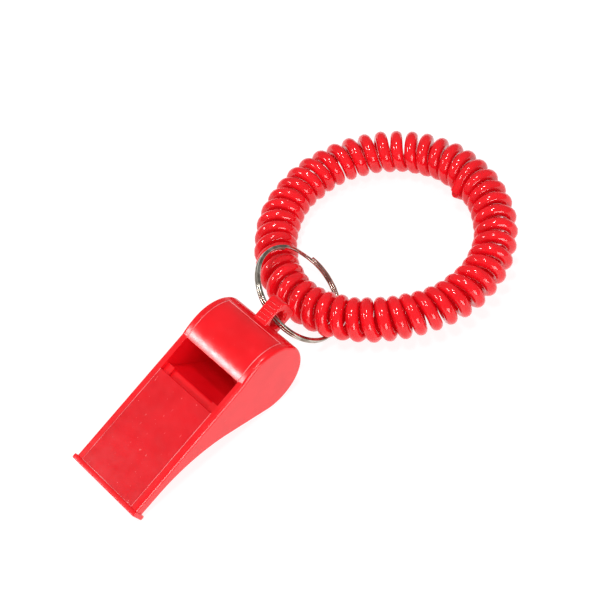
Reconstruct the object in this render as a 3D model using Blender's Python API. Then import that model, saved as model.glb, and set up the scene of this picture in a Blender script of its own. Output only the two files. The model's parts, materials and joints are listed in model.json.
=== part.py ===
"""Plastic pea whistle on a split ring, with a coiled wrist band.

Metres, +Z up.  The whistle points along Y with its lip towards -Y, and rests on its belly and its lip.
Inside the whistle, places are given from the axis of the round chamber: x across, y towards the ring
lug, z square to the mouthpiece's flat top.
"""
import math

import bmesh
import bpy
from mathutils import Matrix, Vector

# Clearance between pieces that touch
gap = 0.0003

# Whistle body: width across the side walls, lip face to chamber rear, and the round chamber
bodyWidth = 0.0214
bodyLength = 0.0526
chamberRadius = 0.00985
sideWall = 0.00185
bellyWall = 0.0017
outerFillet = 0.0008

# Mouthpiece: thickness at the lip, the rib round its end, and the blowing slot
lipThickness = 0.0036
ribWidth = 0.0012
ribHeight = 0.0004
ribFillet = 0.00025
slotHeight = 0.0009
slotSideRail = 0.0022
throatStart = 0.0065
throatRadius = 0.036

# Top plate, and the rounded end of the windway floor that reaches past it
plateThickness = 0.0011
plateEdgeFillet = 0.00015
windowLength = 0.0092
floorOverhang = 0.0021
floorEndRadius = 0.0010

# Chamber roof: its sharp front edge lies ahead of the chamber's axis, its seam behind it
roofEdgeAhead = 0.00485
roofCrownRadius = 0.017
roofSeamAngle = math.radians(56)
roofThickness = 0.0015
roofEdgeThickness = 0.0004
roofEdgeTaper = 0.0030

# Pea, and the room between it and the chamber's side wall
peaRadius = 0.0048
peaSideRoom = 0.00055

# Lug for the ring, with plain cross bars on its top
lugWidth = 0.0040
lugTopWall = 0.00094
lugUnderWall = 0.0017
lugEndWall = 0.0020
lugHoleBehind = 0.01205
lugHoleDrop = 0.00894
lugHoleChamfer = 0.0006
lugHolePlay = 0.00014
lugCornerRadius = 0.0016
lugFillet = 0.00025
lugBarCount = 5
lugBarLength = 0.0030
lugBarWidth = 0.0003
lugBarHeight = 0.0002

# Split ring: two flat turns of wire, stepped over each other
ringWireWidth = 0.0009
ringWireHeight = 0.00065
ringTurnGap = 0.00008
ringChamfer = 0.00015
ringToTube = 2.404
ringJog = math.radians(34)
ringEndGap = math.radians(5)
ringStart = math.radians(150)
ringLowest = 0.00116
ringTwist = math.radians(29.36)
ringYaw = math.radians(16.41)

# Coiled wrist band, as the ring that its coil fills
bandRadius = 0.0270
bandTubeRadius = 0.0052
bandTilt = math.radians(6)
bandTiltFacing = math.radians(15.5)
bandFacing = math.radians(93.3)
bandAcrossRing = 0.0028
bandBelowRing = 0.0019

arcStep = math.radians(5)

# Sizes that follow from the ones above
halfWidth = bodyWidth / 2
innerHalf = halfWidth - sideWall
chamberInner = chamberRadius - bellyWall
crownDrop = roofCrownRadius - math.sqrt(roofCrownRadius ** 2 - roofEdgeAhead ** 2)
topLevel = chamberRadius - crownDrop
lipFace = chamberRadius - bodyLength
underLevel = topLevel - lipThickness
plateFront = lipFace + ribWidth + gap
plateEnd = -roofEdgeAhead - windowLength
floorLevel = topLevel - plateThickness - slotHeight
floorEnd = plateEnd + floorOverhang
ringRadius = ringToTube * bandTubeRadius
peaSideways = innerHalf - peaRadius - peaSideRoom
ringStack = 2 * ringWireHeight + ringTurnGap
ringLean = math.acos(math.cos(ringTwist) * math.cos(ringYaw))
wireReach = math.hypot(ringWireWidth / 2, ringStack / 2 - ringChamfer)
lugHoleRadius = (wireReach / math.cos(ringLean) + (lugWidth / 2 - lugHoleChamfer) * math.tan(ringLean)
                 + gap + lugHolePlay)
lugHoleLevel = chamberRadius - lugHoleDrop
lugTop = lugHoleLevel + lugHoleRadius + lugTopWall
lugUnder = lugHoleLevel - lugHoleRadius - lugUnderWall
lugEnd = lugHoleBehind + lugHoleRadius + lugEndWall


def arc(centre, radius, start, end):
    """Points of an arc; angles run from +z towards +y."""
    count = max(2, math.ceil(abs(end - start) / arcStep))
    points = []
    for index in range(count + 1):
        angle = start + (end - start) * index / count
        points.append((centre[0] + radius * math.sin(angle), centre[1] + radius * math.cos(angle)))
    return points


def throatTangent():
    """Angle at which the straight underside leaves the throat's arc and meets the belly's."""
    throatCentre = (lipFace + throatStart, underLevel - throatRadius)
    reach = math.hypot(throatCentre[0], throatCentre[1])
    slope = math.atan2(-throatCentre[0], -throatCentre[1])
    return slope - math.acos((throatRadius + chamberRadius) / reach)


def restPitch():
    """Angle that lays the whistle on its belly and on the rib under its lip."""
    rise = underLevel - ribHeight
    reach = math.hypot(lipFace, rise)
    return math.atan2(rise, -lipFace) + math.asin(chamberRadius / reach)


def makeMaterial(name, colour, roughness, metallic=0.0):
    material = bpy.data.materials.new(name)
    material.use_nodes = True
    shader = material.node_tree.nodes["Principled BSDF"]
    shader.inputs["Base Color"].default_value = (*colour, 1.0)
    shader.inputs["Roughness"].default_value = roughness
    shader.inputs["Metallic"].default_value = metallic
    return material


def makeObject(name, bm, material, parent=None):
    bmesh.ops.recalc_face_normals(bm, faces=bm.faces)
    bmesh.ops.triangulate(bm, faces=[face for face in bm.faces if len(face.verts) > 4])
    mesh = bpy.data.meshes.new(name)
    bm.to_mesh(mesh)
    bm.free()
    mesh.shade_smooth()
    mesh.set_sharp_from_angle(angle=math.radians(35))
    piece = bpy.data.objects.new(name, mesh)
    bpy.context.collection.objects.link(piece)
    if material:
        mesh.materials.append(material)
    piece.parent = parent
    return piece


def prism(profile, width):
    """Closed solid of a side view (y, z), as wide as given and centred across."""
    bm = bmesh.new()
    ring = [bm.verts.new((-width / 2, y, z)) for y, z in profile]
    face = bm.faces.new(ring)
    swept = bmesh.ops.extrude_face_region(bm, geom=[face])
    moved = [item for item in swept["geom"] if isinstance(item, bmesh.types.BMVert)]
    bmesh.ops.translate(bm, vec=(width, 0, 0), verts=moved)
    bmesh.ops.recalc_face_normals(bm, faces=bm.faces)
    return bm


def loft(stations):
    """Closed solid through outlines with the same number of points."""
    bm = bmesh.new()
    rings = [[bm.verts.new(point) for point in station] for station in stations]
    for first, second in zip(rings, rings[1:]):
        for index in range(len(first)):
            after = (index + 1) % len(first)
            bm.faces.new((first[index], first[after], second[after], second[index]))
    bm.faces.new(rings[0])
    bm.faces.new(list(reversed(rings[-1])))
    return bm


def block(low, high):
    bm = bmesh.new()
    bmesh.ops.create_cube(bm, size=1)
    size = [b - a for a, b in zip(low, high)]
    middle = [(a + b) / 2 for a, b in zip(low, high)]
    bmesh.ops.scale(bm, vec=size, verts=bm.verts)
    bmesh.ops.translate(bm, vec=middle, verts=bm.verts)
    return bm


def bevelSides(bm, radius, segments):
    """Round the outline edges of both flat side faces."""
    sides = [face for face in bm.faces if abs(face.normal.x) > 0.99]
    edges = list({edge for face in sides for edge in face.edges})
    bmesh.ops.bevel(bm, geom=edges, offset=radius, segments=segments, profile=0.5, affect="EDGES")


def combine(piece, tool, operation):
    modifier = piece.modifiers.new(tool.name, "BOOLEAN")
    modifier.object = tool
    modifier.operation = operation
    modifier.solver = "EXACT"
    tool.hide_render = True
    tool.display_type = "WIRE"
    piece.modifiers.new(tool.name + "_facets", "TRIANGULATE")


def roundedBox(y0, z0, y1, z1, radius):
    """Side view of a block whose two far corners are round."""
    points = [(y0, z0), (y0, z1)]
    points += arc((y1 - radius, z1 - radius), radius, 0, math.pi / 2)
    points += arc((y1 - radius, z0 + radius), radius, math.pi / 2, math.pi)
    return points


def bodyProfile():
    throatCentre = (lipFace + throatStart, underLevel - throatRadius)
    turn = throatTangent()
    points = [(lipFace + ribWidth / 2, topLevel)]
    points += arc((0, chamberRadius - roofCrownRadius), roofCrownRadius, -crownTurn(), 0)
    points += arc((0, 0), chamberRadius, 0, math.pi + turn)[1:]
    points += arc(throatCentre, throatRadius, turn, 0)
    points.append((lipFace + ribWidth / 2, underLevel))
    return points


def crownTurn():
    return math.asin(roofEdgeAhead / roofCrownRadius)


def pocketProfile():
    """Plate seat, sounding window and round chamber in one outline, open at the top to the roof's rear seam."""
    above = chamberRadius + 0.002
    seat = topLevel - plateThickness - gap
    frontWall = (floorEnd, floorLevel - floorEndRadius)
    reach = math.hypot(*frontWall)
    lean = math.atan2(frontWall[0], frontWall[1]) - math.acos(chamberInner / reach)
    points = [(lipFace + ribWidth, seat), (lipFace + ribWidth, above)]
    points.append((above * math.tan(roofSeamAngle), above))
    points += arc((0, 0), chamberInner, roofSeamAngle, 2 * math.pi + lean)
    points += [frontWall, (floorEnd, seat)]
    return points


def slotProfile():
    """Blowing slot from the lip's face to the rounded end of the windway floor."""
    front = lipFace - 0.001
    roofOfSlot = topLevel - plateThickness
    endCentre = (floorEnd - floorEndRadius, floorLevel - floorEndRadius)
    points = [(front, floorLevel)]
    points += arc(endCentre, floorEndRadius, 0, math.pi / 2)
    points += [(floorEnd + gap, endCentre[1]), (floorEnd + gap, roofOfSlot), (front, roofOfSlot)]
    return points


def lugBars():
    """Plain cross bars on the lug's top."""
    firstBar = math.sqrt(chamberRadius ** 2 - lugTop ** 2) + 3 * lugBarWidth
    pitch = (lugEnd - lugCornerRadius - lugBarWidth - firstBar) / (lugBarCount - 1)
    bars = bmesh.new()
    for index in range(lugBarCount):
        middle = firstBar + index * pitch
        size = Matrix.Diagonal((lugBarLength, lugBarWidth, 2 * lugBarHeight, 1))
        bmesh.ops.create_cube(bars, size=1, matrix=Matrix.Translation((0, middle, lugTop)) @ size)
    return bars


def lugHoleStation(side, along):
    """One circle of the ring hole: straight inside, and opened out by its chamfer past each face."""
    past = lugHoleChamfer + gap
    x = side * (lugWidth / 2 - lugHoleChamfer + along * past)
    radius = lugHoleRadius + along * past
    circle = arc((lugHoleBehind, lugHoleLevel), radius, 0, 2 * math.pi)[:-1]
    return [Vector((x, y, z)) for y, z in circle[::2]]


def makeBody(frame, material):
    solid = prism(bodyProfile(), bodyWidth)
    bevelSides(solid, outerFillet, 3)
    body = makeObject("whistle_body", solid, material, frame)

    lugRoot = chamberInner + 0.25 * bellyWall
    lug = prism(roundedBox(lugRoot, lugUnder, lugEnd, lugTop, lugCornerRadius), lugWidth)
    bevelSides(lug, lugFillet, 2)
    combine(body, makeObject("lug_tool", lug, None, frame), "UNION")
    combine(body, makeObject("lug_bars_tool", lugBars(), None, frame), "UNION")

    rib = block((-halfWidth - ribHeight, lipFace, underLevel - ribHeight),
                (halfWidth + ribHeight, lipFace + ribWidth, topLevel + ribHeight))
    bmesh.ops.bevel(rib, geom=rib.edges, offset=ribFillet, segments=2, profile=0.5, affect="EDGES")
    combine(body, makeObject("lip_rib_tool", rib, None, frame), "UNION")

    hole = loft([lugHoleStation(side, along) for side, along in ((-1, 1), (-1, 0), (1, 0), (1, 1))])
    combine(body, makeObject("lug_hole_tool", hole, None, frame), "DIFFERENCE")

    pocket = prism(pocketProfile(), 2 * innerHalf)
    combine(body, makeObject("pocket_tool", pocket, None, frame), "DIFFERENCE")
    slot = prism(slotProfile(), 2 * (innerHalf - slotSideRail))
    combine(body, makeObject("slot_tool", slot, None, frame), "DIFFERENCE")
    return body


def makePlate(frame, material):
    plate = block((-innerHalf + gap, plateFront, topLevel - plateThickness), (innerHalf - gap, plateEnd, topLevel))
    bmesh.ops.bevel(plate, geom=plate.edges, offset=plateEdgeFillet, segments=2, profile=0.5, affect="EDGES")
    return makeObject("top_plate", plate, material, frame)


def makeRoof(frame, material):
    seam = roofSeamAngle - gap / chamberRadius
    crown = (0, chamberRadius - roofCrownRadius)
    edgeAngle = -crownTurn()
    taperAngle = -math.asin((roofEdgeAhead - roofEdgeTaper) / roofCrownRadius)
    points = arc(crown, roofCrownRadius, edgeAngle, 0)
    points += arc((0, 0), chamberRadius, 0, seam)[1:]
    points += arc((0, 0), chamberRadius - roofThickness, seam, 0)
    points += arc(crown, roofCrownRadius - roofThickness, 0, taperAngle)[1:]
    points += arc(crown, roofCrownRadius - roofEdgeThickness, edgeAngle, edgeAngle)[:1]
    roof = prism(points, 2 * (innerHalf - gap))
    return makeObject("chamber_roof", roof, material, frame)


def makePea(frame, material):
    """The pea lies at the lowest place in the tilted chamber; its origin is the chamber's axis."""
    orbit = chamberInner - gap - peaRadius
    pitch = restPitch()
    pea = bmesh.new()
    bmesh.ops.create_uvsphere(pea, u_segments=32, v_segments=20, radius=peaRadius)
    bmesh.ops.translate(pea, vec=(peaSideways, -orbit * math.sin(pitch), -orbit * math.cos(pitch)), verts=pea.verts)
    return makeObject("pea", pea, material, frame)


def ringSection():
    """Half-sizes of the wire with its corners cut off, as (outwards, along the ring's axis)."""
    w = ringWireWidth / 2
    h = ringWireHeight / 2
    c = ringChamfer
    return [(w, h - c), (w - c, h), (c - w, h), (-w, h - c), (-w, c - h), (c - w, -h), (w - c, -h), (w, c - h)]


def makeSplitRing(holder, material):
    """Two turns; the first is flat, steps up over the jog, and the second ends short of the jog."""
    rise = ringWireHeight + ringTurnGap
    total = 4 * math.pi - ringJog - ringEndGap
    steps = math.ceil(total / arcStep)
    stations = []
    for index in range(steps + 1):
        angle = total * index / steps
        step = min(max((angle - 2 * math.pi + ringJog) / ringJog, 0), 1)
        level = rise * (step * step * (3 - 2 * step) - 0.5)
        turn = Matrix.Rotation(ringStart + angle, 3, "Z")
        stations.append([turn @ Vector((ringRadius + out, 0, level + along)) for out, along in ringSection()])
    bm = loft(stations)
    bmesh.ops.translate(bm, vec=(0, ringRadius, 0), verts=bm.verts)
    return makeObject("split_ring", bm, material, holder)


def makeBand(holder, material):
    bm = bmesh.new()
    profile = arc((0, 0), bandTubeRadius, 0, 2 * math.pi)[:-1]
    tube = [bm.verts.new((bandRadius + out, 0, up)) for out, up in profile[::3]]
    edges = [bm.edges.new((tube[index - 1], tube[index])) for index in range(len(tube))]
    bmesh.ops.spin(bm, geom=tube + edges, cent=(0, 0, 0), axis=(0, 0, 1), angle=2 * math.pi, steps=80,
                   use_merge=True)
    bmesh.ops.remove_doubles(bm, verts=bm.verts, dist=0.00001)
    return makeObject("coil_band", bm, material, holder)


def makeEmpty(name, location, rotation):
    empty = bpy.data.objects.new(name, None)
    bpy.context.collection.objects.link(empty)
    empty.rotation_mode = "QUATERNION"
    empty.location = location
    empty.rotation_quaternion = rotation
    return empty


def ringPose(droop):
    """Turn that hangs the ring back from the lug hole, twisted and yawed as it lies round the band."""
    twist = Matrix.Rotation(ringTwist, 3, "Y")
    yaw = Matrix.Rotation(ringYaw, 3, "Z")
    return Matrix.Rotation(-droop, 3, "X") @ twist @ yaw


def ringDroop(holeHeight):
    """Droop at which the middle of the ring's wire comes down to its lowest height."""
    low = 0
    high = math.pi / 2
    for _ in range(40):
        droop = (low + high) / 2
        _, _, rise = ringPose(droop)
        lowest = holeHeight + ringRadius * (rise[1] - math.hypot(rise[0], rise[1]))
        if lowest > ringLowest:
            low = droop
        else:
            high = droop
    return droop


def bandPlace(holePlace, pose):
    """Centre of the band: its coil passes through the ring, and it rests on the ground on one side."""
    crossing = holePlace + pose @ Vector((bandAcrossRing, ringRadius + bandBelowRing, 0))
    level = bandTubeRadius + bandRadius * math.sin(bandTilt)
    outward = Vector((math.cos(bandFacing), math.sin(bandFacing), 0))
    return Vector((crossing.x, crossing.y, level)) + bandRadius * outward


def centreOnGround(holders, pieces):
    """Move everything so that the bounding box stands on the ground, centred on the origin."""
    bpy.context.view_layer.update()
    corners = [piece.matrix_world @ vertex.co for piece in pieces for vertex in piece.data.vertices]
    low = Vector([min(corner[axis] for corner in corners) for axis in range(3)])
    high = Vector([max(corner[axis] for corner in corners) for axis in range(3)])
    shift = Vector(((low.x + high.x) / 2, (low.y + high.y) / 2, low.z))
    for holder in holders:
        holder.location -= shift


def main():
    for item in list(bpy.data.objects):
        bpy.data.objects.remove(item, do_unlink=True)

    redPlastic = makeMaterial("red_plastic", (0.80, 0.010, 0.022), 0.25)
    plateRed = makeMaterial("plate_red", (0.72, 0.012, 0.020), 0.30)
    roofRed = makeMaterial("roof_red", (0.80, 0.010, 0.020), 0.22)
    peaRed = makeMaterial("pea_red", (0.60, 0.010, 0.015), 0.55)
    nickel = makeMaterial("nickel", (0.72, 0.68, 0.62), 0.20, 1.0)
    coilRed = makeMaterial("coil_red", (0.80, 0.010, 0.020), 0.18)

    pitch = restPitch()
    tilted = Matrix.Rotation(pitch, 3, "X")
    axisPlace = Vector((0, 0, chamberRadius))
    whistle = makeEmpty("whistle_frame", axisPlace, tilted.to_quaternion())
    body = makeBody(whistle, redPlastic)
    plate = makePlate(whistle, plateRed)
    roof = makeRoof(whistle, roofRed)
    pea = makePea(whistle, peaRed)

    holePlace = axisPlace + tilted @ Vector((0, lugHoleBehind, lugHoleLevel))
    pose = ringPose(ringDroop(holePlace.z))
    hanger = makeEmpty("ring_hanger", holePlace, pose.to_quaternion())
    ring = makeSplitRing(hanger, nickel)

    lean = Matrix.Rotation(-bandTilt, 3, (-math.sin(bandTiltFacing), math.cos(bandTiltFacing), 0))
    holder = makeEmpty("band_holder", bandPlace(holePlace, pose), lean.to_quaternion())
    band = makeBand(holder, coilRed)

    centreOnGround([whistle, hanger, holder], [body, plate, roof, pea, ring, band])


main()
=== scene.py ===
import bisect
import json
import math
import random

import bmesh
import bpy
from mathutils import Matrix, Vector


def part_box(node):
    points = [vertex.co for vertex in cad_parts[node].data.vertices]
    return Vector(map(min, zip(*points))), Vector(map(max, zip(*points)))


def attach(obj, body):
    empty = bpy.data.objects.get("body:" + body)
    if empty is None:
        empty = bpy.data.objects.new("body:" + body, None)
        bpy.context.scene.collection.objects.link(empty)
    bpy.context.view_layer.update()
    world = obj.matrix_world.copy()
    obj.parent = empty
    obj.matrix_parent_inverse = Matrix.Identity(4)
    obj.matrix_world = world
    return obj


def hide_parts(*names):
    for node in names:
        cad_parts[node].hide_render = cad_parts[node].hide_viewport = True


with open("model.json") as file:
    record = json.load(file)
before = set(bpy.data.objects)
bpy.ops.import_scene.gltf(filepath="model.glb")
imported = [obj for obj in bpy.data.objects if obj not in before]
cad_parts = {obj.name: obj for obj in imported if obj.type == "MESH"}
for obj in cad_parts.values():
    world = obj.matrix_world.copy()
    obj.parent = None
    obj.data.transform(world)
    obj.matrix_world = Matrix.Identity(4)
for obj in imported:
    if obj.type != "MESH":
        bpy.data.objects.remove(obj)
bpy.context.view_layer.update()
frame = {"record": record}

joints = {joint["name"]: joint for joint in frame["record"]["behaviour"]["joints"]}


# Camera, standing where the whistle's top and right side both show
cameraSet = {
    "azimuth": 52.5,
    "elevation": 54.0,
    "roll": 7.59,
    "distance": 0.359,
    "lens": 86.85,
    "target": (-0.0043, 0.0051, 0.0),
}


def makeCamera(look):
    azimuth = math.radians(look["azimuth"])
    elevation = math.radians(look["elevation"])
    roll = math.radians(look["roll"])
    back = Vector((math.sin(azimuth) * math.cos(elevation), -math.cos(azimuth) * math.cos(elevation),
                   math.sin(elevation)))
    right = Vector((0, 0, 1)).cross(back).normalized()
    up = back.cross(right)
    turned = right * math.cos(roll) - up * math.sin(roll)
    lifted = up * math.cos(roll) + right * math.sin(roll)
    data = bpy.data.cameras.new("mainCamera")
    data.lens = look["lens"]
    data.clip_start = 0.01
    camera = bpy.data.objects.new("mainCamera", data)
    bpy.context.collection.objects.link(camera)
    facing = Matrix((turned, lifted, back)).transposed()
    stand = Vector(look["target"]) + back * look["distance"]
    camera.matrix_world = Matrix.Translation(stand) @ facing.to_4x4()
    bpy.context.scene.camera = camera


makeCamera(cameraSet)
print("camera placed")


# Small mesh tools: points are Vectors in metres
def link(name, mesh, material):
    piece = bpy.data.objects.new(name, mesh)
    bpy.context.collection.objects.link(piece)
    if material:
        mesh.materials.append(material)
    return piece


def arc(centre, radius, start, end, step=2.0):
    # angles run from +z towards +y
    count = max(2, math.ceil(abs(end - start) / math.radians(step)))
    spots = []
    for index in range(count + 1):
        angle = start + (end - start) * index / count
        spots.append((centre[0] + radius * math.sin(angle), centre[1] + radius * math.cos(angle)))
    return spots


def prism(outline, width):
    bm = bmesh.new()
    face = bm.faces.new([bm.verts.new((-width / 2, y, z)) for y, z in outline])
    swept = bmesh.ops.extrude_face_region(bm, geom=[face])
    moved = [item for item in swept["geom"] if isinstance(item, bmesh.types.BMVert)]
    bmesh.ops.translate(bm, vec=(width, 0, 0), verts=moved)
    bmesh.ops.recalc_face_normals(bm, faces=bm.faces)
    return bm


def roundSides(bm, radius, segments):
    edges = list({edge for face in bm.faces if abs(face.normal.x) > 0.99 for edge in face.edges})
    bmesh.ops.bevel(bm, geom=edges, offset=radius, segments=segments, profile=0.5, affect="EDGES")
    return bm


def roundBox(low, high, radius, segments=4):
    bm = bmesh.new()
    bmesh.ops.create_cube(bm, size=1)
    bmesh.ops.scale(bm, vec=[b - a for a, b in zip(low, high)], verts=bm.verts)
    bmesh.ops.translate(bm, vec=[(a + b) / 2 for a, b in zip(low, high)], verts=bm.verts)
    bmesh.ops.bevel(bm, geom=bm.edges, offset=radius, segments=segments, profile=0.5, affect="EDGES")
    return bm


def loft(stations):
    # skin through outlines with the same number of points
    bm = bmesh.new()
    rings = [[bm.verts.new(point) for point in station] for station in stations]
    for first, second in zip(rings, rings[1:]):
        for index in range(len(first)):
            after = (index + 1) % len(first)
            bm.faces.new((first[index], first[after], second[after], second[index]))
    bm.faces.new(rings[0])
    bm.faces.new(list(reversed(rings[-1])))
    bmesh.ops.recalc_face_normals(bm, faces=bm.faces)
    return bm


def toMesh(name, bm, flatten=True):
    bmesh.ops.recalc_face_normals(bm, faces=bm.faces)
    if flatten:
        bmesh.ops.triangulate(bm, faces=[face for face in bm.faces if len(face.verts) > 4])
    mesh = bpy.data.meshes.new(name)
    bm.to_mesh(mesh)
    bm.free()
    return mesh


def cutAndJoin(name, base, steps):
    # one Boolean after another, with plain triangles in between
    piece = link(name, toMesh(name, base), None)
    tools = []
    for kind, bm in steps:
        tool = link(name + "Tool", toMesh(name + "Tool", bm), None)
        modifier = piece.modifiers.new(kind, "BOOLEAN")
        modifier.object = tool
        modifier.operation = kind
        modifier.solver = "EXACT"
        piece.modifiers.new("facets", "TRIANGULATE")
        tools.append(tool)
    bpy.context.view_layer.update()
    graph = bpy.context.evaluated_depsgraph_get()
    mesh = bpy.data.meshes.new_from_object(piece.evaluated_get(graph))
    for item in [piece] + tools:
        bpy.data.objects.remove(item, do_unlink=True)
    bm = bmesh.new()
    bm.from_mesh(mesh)
    bmesh.ops.remove_doubles(bm, verts=bm.verts, dist=0.000002)
    bmesh.ops.dissolve_limit(bm, angle_limit=math.radians(0.4), verts=bm.verts, edges=bm.edges)
    return bm


def finishPiece(name, bm, place, material, body, node=None, edge=0.0, sharp=38):
    # place the shape in the world, soften its edges and hand it to its body
    mesh = toMesh(name, bm, flatten=False)
    mesh.transform(place)
    mesh.shade_smooth()
    mesh.set_sharp_from_angle(angle=math.radians(sharp))
    piece = link(name, mesh, material)
    if edge:
        bevel = piece.modifiers.new("softEdges", "BEVEL")
        bevel.width = edge
        bevel.segments = 2
        bevel.limit_method = "ANGLE"
        bevel.angle_limit = math.radians(35)
    normals = piece.modifiers.new("evenNormals", "WEIGHTED_NORMAL")
    normals.keep_sharp = True
    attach(piece, body)
    if node:
        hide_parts(node)
    return piece


# Materials
def newMaterial(name):
    material = bpy.data.materials.new(name)
    material.use_nodes = True
    tree = material.node_tree
    return material, tree, tree.nodes["Principled BSDF"]


def noise(tree, scale, detail=2.0, stretch=None):
    places = tree.nodes.new("ShaderNodeTexCoord")
    spots = tree.nodes.new("ShaderNodeTexNoise")
    spots.inputs["Scale"].default_value = scale
    spots.inputs["Detail"].default_value = detail
    if stretch:
        mapping = tree.nodes.new("ShaderNodeMapping")
        mapping.inputs["Scale"].default_value = stretch
        mapping.inputs["Rotation"].default_value = (0.3, 0.2, 0.7)
        tree.links.new(places.outputs["Object"], mapping.inputs["Vector"])
        tree.links.new(mapping.outputs["Vector"], spots.inputs["Vector"])
    else:
        tree.links.new(places.outputs["Object"], spots.inputs["Vector"])
    return spots.outputs["Fac"]


def ranged(tree, value, fromLow, fromHigh, toLow, toHigh):
    node = tree.nodes.new("ShaderNodeMapRange")
    for key, number in (("From Min", fromLow), ("From Max", fromHigh), ("To Min", toLow), ("To Max", toHigh)):
        node.inputs[key].default_value = number
    tree.links.new(value, node.inputs["Value"])
    return node.outputs["Result"]


def mixed(tree, share, first, second):
    node = tree.nodes.new("ShaderNodeMix")
    node.data_type = "RGBA"
    tree.links.new(share, node.inputs[0])
    for socket, colour in ((node.inputs[6], first), (node.inputs[7], second)):
        if isinstance(colour, tuple):
            socket.default_value = (*colour, 1)
        else:
            tree.links.new(colour, socket)
    return node.outputs[2]


def bumped(tree, shader, height, strength, distance, before=None):
    node = tree.nodes.new("ShaderNodeBump")
    node.inputs["Strength"].default_value = strength
    node.inputs["Distance"].default_value = distance
    tree.links.new(height, node.inputs["Height"])
    if before:
        tree.links.new(before, node.inputs["Normal"])
    tree.links.new(node.outputs["Normal"], shader.inputs["Normal"])
    return node.outputs["Normal"]


mouldedRed = {
    "red": (0.74, 0.0045, 0.0100),
    "deepRed": (0.67, 0.003, 0.0075),
    "scuff": (0.95, 0.22, 0.22),
    "roughness": (0.17, 0.24),
    "skinGrain": 2600.0,
    "glow": 0.30,
    # painted glow: red emission that lifts the shade on the moulded parts
    "paintedGlow": 0.10,
}


def subsurfaceAndPaintedGlow(shader, look, depth):
    # red light travels inside the plastic and comes out again; the emission on top is a painted red glow that
    # lifts the shade
    shader.inputs["IOR"].default_value = 1.5
    shader.inputs["Subsurface Weight"].default_value = look["glow"]
    shader.inputs["Subsurface Radius"].default_value = depth
    shader.inputs["Subsurface Scale"].default_value = 1.0
    shader.inputs["Emission Color"].default_value = (*look["red"], 1)
    shader.inputs["Emission Strength"].default_value = look.get("paintedGlow", 0)


def makeMoulded(name, look, scuffs=0.0):
    material, tree, shader = newMaterial(name)
    subsurfaceAndPaintedGlow(shader, look, (0.002, 0.0002, 0.0002))
    cloud = ranged(tree, noise(tree, 160.0, 3.0), 0.35, 0.65, 0.0, 1.0)
    colour = mixed(tree, cloud, look["red"], look["deepRed"])
    rough = ranged(tree, noise(tree, 420.0, 4.0), 0.3, 0.7, *look["roughness"])
    if scuffs:
        specks = ranged(tree, noise(tree, 2600.0, 1.0), 0.76, 0.80, 0.0, scuffs)
        colour = mixed(tree, specks, colour, look["scuff"])
        hair = ranged(tree, noise(tree, 1500.0, 1.0, (1.0, 0.15, 1.0)), 0.76, 0.80, 0.0, scuffs * 0.6)
        colour = mixed(tree, hair, colour, look["scuff"])
    tree.links.new(colour, shader.inputs["Base Color"])
    tree.links.new(rough, shader.inputs["Roughness"])
    first = bumped(tree, shader, noise(tree, look["skinGrain"], 2.0), 0.10, 0.00002)
    bumped(tree, shader, noise(tree, 130.0, 1.0), 0.10, 0.00006, first)
    return material


bodyRed = makeMoulded("bodyRed", mouldedRed, 0.25)
# painted shade: the top plate gets a darker copy of the body red; its heavier scuff specks are real wear
plateShadedLook = {**mouldedRed, "red": (0.63, 0.0045, 0.0105), "deepRed": (0.57, 0.003, 0.008)}
plateShadedScuffedRed = makeMoulded("plateShadedScuffedRed", plateShadedLook, 0.8)
roofRed = makeMoulded("roofRed", {**mouldedRed, "roughness": (0.12, 0.22)}, 0.2)

# painted highlight: light red for the bright lines along the seams
seamHighlightLook = {"red": (0.97, 0.20, 0.21), "deepRed": (0.85, 0.06, 0.07), "scuff": (0.95, 0.2, 0.2),
            "roughness": (0.22, 0.36), "skinGrain": 3000.0, "glow": 0.3}
seamHighlightRed = makeMoulded("seamHighlightRed", seamHighlightLook)

peaLook = {"red": (0.62, 0.010, 0.014), "deepRed": (0.50, 0.006, 0.010), "scuff": (0.9, 0.3, 0.3),
           "roughness": (0.45, 0.65), "skinGrain": 1800.0, "glow": 0.1}
peaRed = makeMoulded("peaRed", peaLook, 0.3)

coilLook = {
    "red": (0.70, 0.006, 0.012),
    "deepRed": (0.62, 0.004, 0.009),
    "roughness": (0.08, 0.14),
    "glow": 0.35,
    # painted glow: red emission that lifts the shade between the coil's turns
    "paintedGlow": 0.13,
}


def makeCoilRed(look):
    material, tree, shader = newMaterial("coilRed")
    subsurfaceAndPaintedGlow(shader, look, (0.0025, 0.0003, 0.0003))
    cloud = ranged(tree, noise(tree, 220.0, 3.0), 0.35, 0.65, 0.0, 1.0)
    tree.links.new(mixed(tree, cloud, look["red"], look["deepRed"]), shader.inputs["Base Color"])
    tree.links.new(ranged(tree, noise(tree, 500.0, 3.0), 0.3, 0.7, *look["roughness"]),
                   shader.inputs["Roughness"])
    bumped(tree, shader, noise(tree, 420.0, 2.0), 0.22, 0.00008)
    return material


coilRed = makeCoilRed(coilLook)

nickelLook = {
    "bright": (0.58, 0.54, 0.47),
    "dull": (0.30, 0.25, 0.20),
    "roughness": (0.10, 0.22),
}


def makeNickel(look):
    material, tree, shader = newMaterial("nickel")
    shader.inputs["Metallic"].default_value = 1.0
    cloud = ranged(tree, noise(tree, 380.0, 3.0), 0.42, 0.58, 0.0, 1.0)
    tree.links.new(mixed(tree, cloud, look["bright"], look["dull"]), shader.inputs["Base Color"])
    tree.links.new(ranged(tree, noise(tree, 900.0, 3.0), 0.3, 0.7, *look["roughness"]),
                   shader.inputs["Roughness"])
    bumped(tree, shader, noise(tree, 2200.0, 2.0), 0.18, 0.00002)
    return material


nickel = makeNickel(nickelLook)
print("materials made")


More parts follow.
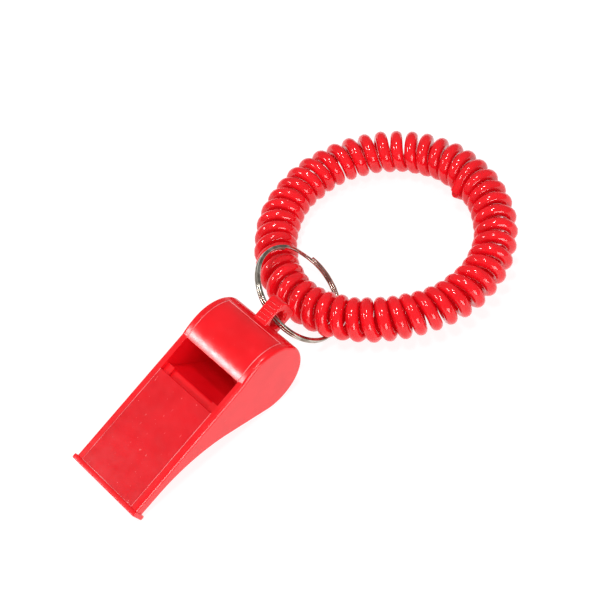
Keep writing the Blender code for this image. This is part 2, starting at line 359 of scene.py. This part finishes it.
# Whistle: sizes as the frame has them, measured from the chamber's axis
whistle = {
    "width": 0.0214,
    "length": 0.0526,
    "radius": 0.00985,
    "sideWall": 0.00185,
    "bellyWall": 0.0017,
    "fillet": 0.0008,
    "lipThickness": 0.0036,
    "ribWidth": 0.0012,
    "ribHeight": 0.0004,
    "ribFillet": 0.00028,
    "slotHeight": 0.0009,
    "slotRail": 0.0022,
    "throatStart": 0.0065,
    "throatRadius": 0.036,
    "plateThickness": 0.0011,
    "windowLength": 0.0092,
    "floorOverhang": 0.0021,
    "floorEndRadius": 0.0010,
    "roofEdgeAhead": 0.00485,
    "crownRadius": 0.017,
    "roofSeam": math.radians(56),
    "roofThickness": 0.0015,
    "roofEdge": 0.0004,
    "roofTaper": 0.0030,
    "plateFillet": 0.00014,
    "seam": 0.00008,
    "softEdge": 0.00012,
    "roofSoftEdge": 0.0001,
}
w = whistle
halfWidth = w["width"] / 2
innerHalf = halfWidth - w["sideWall"]
chamberInner = w["radius"] - w["bellyWall"]
crownTurn = math.asin(w["roofEdgeAhead"] / w["crownRadius"])
topLevel = w["radius"] - w["crownRadius"] * (1 - math.cos(crownTurn))
lipFace = w["radius"] - w["length"]
underLevel = topLevel - w["lipThickness"]
plateEnd = -w["roofEdgeAhead"] - w["windowLength"]
floorLevel = topLevel - w["plateThickness"] - w["slotHeight"]
floorEnd = plateEnd + w["floorOverhang"]
crownCentre = (0, w["radius"] - w["crownRadius"])

ribRise = underLevel - w["ribHeight"]
pitch = math.atan2(ribRise, -lipFace) + math.asin(w["radius"] / math.hypot(lipFace, ribRise))
chamberAxis = Vector(joints["pea_roll"]["pos_m"])
whistlePlace = Matrix.Translation(chamberAxis) @ Matrix.Rotation(pitch, 4, "X")

lug = {
    "width": 0.0040,
    "topWall": 0.00094,
    "underWall": 0.0017,
    "endWall": 0.0020,
    "holeRadius": 0.0022,
    "holeChamfer": 0.0006,
    "corner": 0.0016,
    "fillet": 0.00028,
    "bars": 5,
    "barSize": (0.0030, 0.0003, 0.00045),
    "barFillet": 0.00008,
    "barsFromRoof": 0.0009,
    "barsFromEnd": 0.0003,
}
holePlace = whistlePlace.inverted() @ Vector(joints["ring_swing"]["pos_m"])
lugTop = holePlace.z + lug["holeRadius"] + lug["topWall"]
lugUnder = holePlace.z - lug["holeRadius"] - lug["underWall"]
lugEnd = holePlace.y + lug["holeRadius"] + lug["endWall"]
past = 0.0003  # how far a cutter runs past the face it cuts


def bodyOutline():
    throatCentre = (lipFace + w["throatStart"], underLevel - w["throatRadius"])
    reach = math.hypot(*throatCentre)
    slope = math.atan2(-throatCentre[0], -throatCentre[1])
    turn = slope - math.acos((w["throatRadius"] + w["radius"]) / reach)
    spots = [(lipFace + w["ribWidth"] / 2, topLevel)]
    spots += arc(crownCentre, w["crownRadius"], -crownTurn, 0)
    spots += arc((0, 0), w["radius"], 0, math.pi + turn)[1:]
    spots += arc(throatCentre, w["throatRadius"], turn, 0)
    spots.append((lipFace + w["ribWidth"] / 2, underLevel))
    return spots


def pocketOutline():
    above = w["radius"] + 0.002
    seat = topLevel - w["plateThickness"] - w["seam"]
    frontWall = (floorEnd, floorLevel - w["floorEndRadius"])
    reach = math.hypot(*frontWall)
    lean = math.atan2(frontWall[0], frontWall[1]) - math.acos(chamberInner / reach)
    spots = [(lipFace + w["ribWidth"], seat), (lipFace + w["ribWidth"], above)]
    spots.append((above * math.tan(w["roofSeam"]), above))
    spots += arc((0, 0), chamberInner, w["roofSeam"], 2 * math.pi + lean)
    spots += [frontWall, (floorEnd, seat)]
    return spots


def slotOutline():
    front = lipFace - 3 * past
    slotTop = topLevel - w["plateThickness"]
    endCentre = (floorEnd - w["floorEndRadius"], floorLevel - w["floorEndRadius"])
    spots = [(front, floorLevel)]
    spots += arc(endCentre, w["floorEndRadius"], 0, math.pi / 2, 10)
    spots += [(floorEnd + past, endCentre[1]), (floorEnd + past, slotTop), (front, slotTop)]
    return spots


def lugOutline():
    root = chamberInner + 0.25 * w["bellyWall"]
    spots = [(root, lugUnder), (root, lugTop)]
    spots += arc((lugEnd - lug["corner"], lugTop - lug["corner"]), lug["corner"], 0, math.pi / 2, 6)
    spots += arc((lugEnd - lug["corner"], lugUnder + lug["corner"]), lug["corner"], math.pi / 2, math.pi, 6)
    return spots


def holeStation(side, along):
    flare = along * (lug["holeChamfer"] + past)
    x = side * (lug["width"] / 2 - lug["holeChamfer"] + flare)
    circle = arc((holePlace.y, holePlace.z), lug["holeRadius"] + flare, 0, 2 * math.pi, 6)[:-1]
    return [(x, y, z) for y, z in circle]


def makeWhistleBody():
    shell = roundSides(prism(bodyOutline(), w["width"]), w["fillet"], 6)
    ear = roundSides(prism(lugOutline(), lug["width"]), lug["fillet"], 3)
    rib = roundBox((-halfWidth - w["ribHeight"], lipFace, underLevel - w["ribHeight"]),
                   (halfWidth + w["ribHeight"], lipFace + w["ribWidth"], topLevel + w["ribHeight"]),
                   w["ribFillet"])
    pocket = prism(pocketOutline(), 2 * innerHalf)
    slot = prism(slotOutline(), 2 * (innerHalf - w["slotRail"]))
    hole = loft([holeStation(side, along) for side, along in ((-1, 1), (-1, 0), (1, 0), (1, 1))])
    bm = cutAndJoin("whistleShell", shell, [("UNION", ear), ("UNION", rib), ("DIFFERENCE", pocket),
                                            ("DIFFERENCE", slot), ("DIFFERENCE", hole)])
    piece = finishPiece("whistleShell", bm, whistlePlace, bodyRed, "whistle", "whistle_body", w["softEdge"])


def makeLugBars():
    # plain raised bars across the lug's top
    first = math.sqrt(w["radius"] ** 2 - lugTop ** 2) + lug["barsFromRoof"]
    last = lugEnd - lug["corner"] - lug["barsFromEnd"]
    long, wide, high = lug["barSize"]
    for index in range(lug["bars"]):
        middle = first + (last - first) * index / (lug["bars"] - 1)
        bar = roundBox((-long / 2, middle - wide / 2, lugTop - high / 2),
                       (long / 2, middle + wide / 2, lugTop + high / 2), lug["barFillet"], 2)
        piece = finishPiece(f"lugBar{index + 1}", bar, whistlePlace, bodyRed, "whistle")


def makeTopPlate():
    low = (-innerHalf + w["seam"], lipFace + w["ribWidth"] + w["seam"], topLevel - w["plateThickness"])
    high = (innerHalf - w["seam"], plateEnd, topLevel)
    plate = roundBox(low, high, w["plateFillet"], 3)
    piece = finishPiece("plateSkin", plate, whistlePlace, plateShadedScuffedRed, "whistle", "top_plate")


def makeRoof():
    seam = w["roofSeam"] - w["seam"] / w["radius"]
    taper = -math.asin((w["roofEdgeAhead"] - w["roofTaper"]) / w["crownRadius"])
    spots = arc(crownCentre, w["crownRadius"], -crownTurn, 0)
    spots += arc((0, 0), w["radius"], 0, seam)[1:]
    spots += arc((0, 0), w["radius"] - w["roofThickness"], seam, 0)
    spots += arc(crownCentre, w["crownRadius"] - w["roofThickness"], 0, taper)[1:]
    spots += arc(crownCentre, w["crownRadius"] - w["roofEdge"], -crownTurn, -crownTurn)[:1]
    roof = prism(spots, 2 * (innerHalf - w["seam"]))
    piece = finishPiece("roofSkin", roof, whistlePlace, roofRed, "whistle", "chamber_roof", w["roofSoftEdge"])


def seamHighlightBead(name, spots, thickness, lift):
    # thin raised line along a seam, coloured light red as a painted highlight
    curve = bpy.data.curves.new(name, "CURVE")
    curve.dimensions = "3D"
    curve.bevel_depth = thickness / 2
    curve.bevel_resolution = 2
    curve.use_fill_caps = True
    spline = curve.splines.new("POLY")
    spline.points.add(len(spots) - 1)
    for point, spot in zip(spline.points, spots):
        point.co = (*(whistlePlace @ (Vector(spot) + Vector((0, 0, lift)))), 1)
    piece = bpy.data.objects.new(name, curve)
    bpy.context.collection.objects.link(piece)
    curve.materials.append(seamHighlightRed)
    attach(piece, "whistle")


# sizes of the raised beads that carry the painted seam highlight
seamHighlightSize = {
    "sink": 0.00005,
    "thin": 0.00018,
    "rearThickness": 0.00020,
    "thick": 0.00022,
    "proud": 0.00003,
    "sunk": -0.00002,
    "rearProud": 0.00002,
}


# painted highlight lines along the plate and roof seams, raised on the right and rear, sunk on the left
def makeSeamHighlights():
    x = innerHalf - w["seam"] / 2
    front = lipFace + w["ribWidth"] + w["seam"] / 2
    level = topLevel - seamHighlightSize["sink"]
    rear = w["roofSeam"] - w["seam"] / w["radius"] / 2
    crown = arc(crownCentre, w["crownRadius"] - seamHighlightSize["sink"] / 2, -crownTurn, 0, 3)
    back = arc((0, 0), w["radius"] - seamHighlightSize["sink"] / 2, 0, rear, 3)
    for side, word, rise in ((1, "Right", seamHighlightSize["proud"]), (-1, "Left", seamHighlightSize["sunk"])):
        edge = [(side * x, front, level), (side * x, plateEnd, level)]
        seamHighlightBead("plateSeamHighlight" + word, edge, seamHighlightSize["thin"], rise)
        seamHighlightBead("roofSeamHighlight" + word, [(side * x, y, z) for y, z in crown + back[1:]], seamHighlightSize["thick"], rise)
    y, z = back[-1]
    seamHighlightBead("roofSeamHighlightRear", [(-x, y, z), (x, y, z)], seamHighlightSize["rearThickness"], seamHighlightSize["rearProud"])
    seamHighlightBead("plateSeamHighlightFront", [(-x, front, level), (x, front, level)], seamHighlightSize["thick"], seamHighlightSize["proud"])


makeWhistleBody()
makeLugBars()
makeTopPlate()
makeRoof()
makeSeamHighlights()
print("whistle made")


pea = {
    "radius": 0.0048,
    "dents": 0.00004,
    "dentWaves": (2300, 2100, 2500),
}


def makePea():
    low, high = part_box("pea")
    middle = (Vector(low) + Vector(high)) / 2
    bm = bmesh.new()
    bmesh.ops.create_icosphere(bm, subdivisions=5, radius=pea["radius"])
    for vertex in bm.verts:
        wave = math.prod(math.sin(part * pace) for part, pace in zip(vertex.co, pea["dentWaves"]))
        vertex.co *= 1 - pea["dents"] / pea["radius"] * (1 + wave)
    piece = finishPiece("peaBall", bm, Matrix.Translation(middle), peaRed, "rolling_pea", "pea", sharp=80)


makePea()


ring = {
    "radius": 0.0125,
    "wireWidth": 0.0009,
    "wireHeight": 0.00065,
    "turnGap": 0.00008,
    "round": 0.0002,
    "jog": math.radians(34),
    "endGap": math.radians(5),
    "start": math.radians(150),
    "droop": math.radians(33.2),
    "twist": math.radians(29.36),
    "yaw": math.radians(16.41),
    "stations": 280,
}


def wireSection():
    wide = ring["wireWidth"] / 2 - ring["round"]
    high = ring["wireHeight"] / 2 - ring["round"]
    spots = []
    for corner, (x, z) in enumerate(((wide, high), (-wide, high), (-wide, -high), (wide, -high))):
        for step in range(4):
            angle = math.pi / 2 * (corner + step / 3)
            spots.append((x + ring["round"] * math.cos(angle), z + ring["round"] * math.sin(angle)))
    return spots


def makeSplitRing():
    rise = ring["wireHeight"] + ring["turnGap"]
    total = 4 * math.pi - ring["jog"] - ring["endGap"]
    stations = []
    for index in range(ring["stations"] + 1):
        angle = total * index / ring["stations"]
        step = min(max((angle - 2 * math.pi + ring["jog"]) / ring["jog"], 0), 1)
        level = rise * (step * step * (3 - 2 * step) - 0.5)
        turn = Matrix.Rotation(ring["start"] + angle, 3, "Z")
        middle = Vector((0, ring["radius"], 0))
        stations.append([middle + turn @ Vector((ring["radius"] + out, 0, level + along))
                         for out, along in wireSection()])
    pose = (Matrix.Rotation(-ring["droop"], 4, "X") @ Matrix.Rotation(ring["twist"], 4, "Y")
            @ Matrix.Rotation(ring["yaw"], 4, "Z"))
    place = Matrix.Translation(joints["ring_swing"]["pos_m"]) @ pose
    piece = finishPiece("ringWire", loft(stations), place, nickel, "ring", "split_ring")


makeSplitRing()
print("ring made")


band = {
    "radius": 0.0270,
    "coilRadius": 0.00545,
    "cord": 0.0031,
    "turns": 46,
    "tightTurns": 1.10,
    "looseTurns": 0.965,
    "tightMiddle": 315,
    "tightSpread": 42,
    "samples": 720,
    "pointsPerTurn": 24,
    "start": math.radians(76),
    "firstTube": 1.02 * math.pi,
    "wobble": 0.00013,
    "wobbleAlong": 0.000104,
    "endLength": 0.16,
    "endReach": 0.0016,
    "frontBulge": (0.0016, 278, 60),
    "sideBulge": (0.0010, 12, 70),
    "sideSag": (0.0017, 8, 90),
}


def turnsSoFar():
    # share of all turns wound by each step round the band, packed closer where it bends by the whistle
    weights = []
    for index in range(band["samples"]):
        angle = math.degrees(band["start"]) + 360 * (index + 0.5) / band["samples"]
        away = ((angle - band["tightMiddle"]) + 180) % 360 - 180
        packed = math.exp(-(away / band["tightSpread"]) ** 4)
        weights.append(band["looseTurns"] + (band["tightTurns"] - band["looseTurns"]) * packed)
    total = sum(weights)
    wound = [0.0]
    for weight in weights:
        wound.append(wound[-1] + weight / total)
    return wound


def angleAt(share, wound):
    low = min(bisect.bisect_right(wound, share), band["samples"]) - 1
    part = (share - wound[low]) / (wound[low + 1] - wound[low])
    return band["start"] + 2 * math.pi * (low + part) / band["samples"]


def swell(angle, shape):
    # full height at the middle angle, falling smoothly to nothing either side
    height, middle, spread = shape
    away = abs((angle - math.radians(middle) + math.pi) % (2 * math.pi) - math.pi) / math.radians(spread)
    return height * 0.5 * (1 + math.cos(math.pi * min(away, 1)))


def blended(values, turn):
    whole = int(turn)
    part = turn - whole
    part = part * part * (3 - 2 * part)
    return values[whole] * (1 - part) + values[whole + 1] * part


def coilSpots():
    wound = turnsSoFar()
    centre = Vector(joints["band_turn"]["pos_m"])
    axis = Vector(joints["band_turn"]["axis"]).normalized()
    tilted = Vector((0, 0, 1)).rotation_difference(axis).to_matrix()
    small = band["coilRadius"] - band["cord"] / 2
    sizes = [random.uniform(-1, 1) * band["wobble"] for _ in range(band["turns"] + 3)]
    shifts = [random.uniform(-1, 1) * band["wobbleAlong"] for _ in range(band["turns"] + 3)]
    spots = []
    for index in range(band["turns"] * band["pointsPerTurn"] + 1):
        turn = index / band["pointsPerTurn"]
        around = angleAt(min(turn / band["turns"], 0.999999), wound)
        tube = band["firstTube"] - 2 * math.pi * turn
        size = small + blended(sizes, turn)
        middle = band["radius"] + swell(around, band["frontBulge"]) + swell(around, band["sideBulge"])
        end = max(0, 1 - min(turn, band["turns"] - turn) / band["endLength"])
        out = middle + size * math.cos(tube) - band["endReach"] * end ** 2
        level = size * math.sin(tube) - swell(around, band["sideSag"])
        flat = Vector((out * math.cos(around), out * math.sin(around), level))
        flat += Vector((-math.sin(around), math.cos(around), 0)) * blended(shifts, turn)
        spots.append(centre + tilted @ flat)
    return spots


def makeCoil():
    random.seed(7)
    spots = coilSpots()
    curve = bpy.data.curves.new("coilCord", "CURVE")
    curve.dimensions = "3D"
    curve.bevel_depth = band["cord"] / 2
    curve.bevel_resolution = 5
    curve.use_fill_caps = True
    spline = curve.splines.new("POLY")
    spline.points.add(len(spots) - 1)
    for point, spot in zip(spline.points, spots):
        point.co = (*spot, 1)
    spline.use_smooth = True
    piece = bpy.data.objects.new("coilCord", curve)
    bpy.context.collection.objects.link(piece)
    curve.materials.append(coilRed)
    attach(piece, "band")
    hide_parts("coil_band")
    length = sum((b - a).length for a, b in zip(spots, spots[1:]))
    print("coil cord", round(length, 4), "m long")


makeCoil()
print("coil made")


# Floor and light
studio = {
    "floor": (0.22, 0.22, 0.22),
    "floorGlow": 0.86,
    "world": 0.32,
    "frontPower": 2.3,
    "frontSize": (0.28, 0.09),
    "frontWay": (-0.466, -0.635, 0.615),
    "topPower": 5.0,
    "topSize": (0.11, 0.11),
    "topWays": ((0.10, -0.22, 0.95), (-0.12, 0.10, 0.98)),
    "sidePower": 4.4,
    "sideSize": (0.5, 0.4),
    "sideWay": (0.95, -0.25, 0.30),
    "reach": 0.9,
}


def makeLight(name, way, size, power):
    data = bpy.data.lights.new(name, "AREA")
    data.shape = "RECTANGLE"
    data.size, data.size_y = size
    data.energy = power
    light = bpy.data.objects.new(name, data)
    bpy.context.collection.objects.link(light)
    away = Vector(way).normalized()
    light.location = away * studio["reach"]
    light.rotation_mode = "QUATERNION"
    light.rotation_quaternion = away.to_track_quat("Z", "Y")


def makeStudio():
    bm = bmesh.new()
    bmesh.ops.create_grid(bm, x_segments=1, y_segments=1, size=3)
    material, tree, shader = newMaterial("paleFloor")
    shader.inputs["Base Color"].default_value = (*studio["floor"], 1)
    shader.inputs["Roughness"].default_value = 0.9
    shader.inputs["Specular IOR Level"].default_value = 0.1
    shader.inputs["Emission Color"].default_value = (1, 1, 1, 1)
    shader.inputs["Emission Strength"].default_value = studio["floorGlow"]
    floor = link("floor", toMesh("floor", bm), material)
    floor.location.z = -0.0002
    world = bpy.data.worlds.new("studioWorld")
    world.use_nodes = True
    world.node_tree.nodes["Background"].inputs["Strength"].default_value = studio["world"]
    world.node_tree.nodes["Background"].inputs["Color"].default_value = (1, 1, 1, 1)
    bpy.context.scene.world = world
    makeLight("frontBox", studio["frontWay"], studio["frontSize"], studio["frontPower"])
    makeLight("sideBox", studio["sideWay"], studio["sideSize"], studio["sidePower"])
    for index, way in enumerate(studio["topWays"]):
        makeLight(f"topBox{index + 1}", way, studio["topSize"], studio["topPower"] / 2)


makeStudio()
bpy.context.scene.view_settings.view_transform = "Standard"
print("studio made")
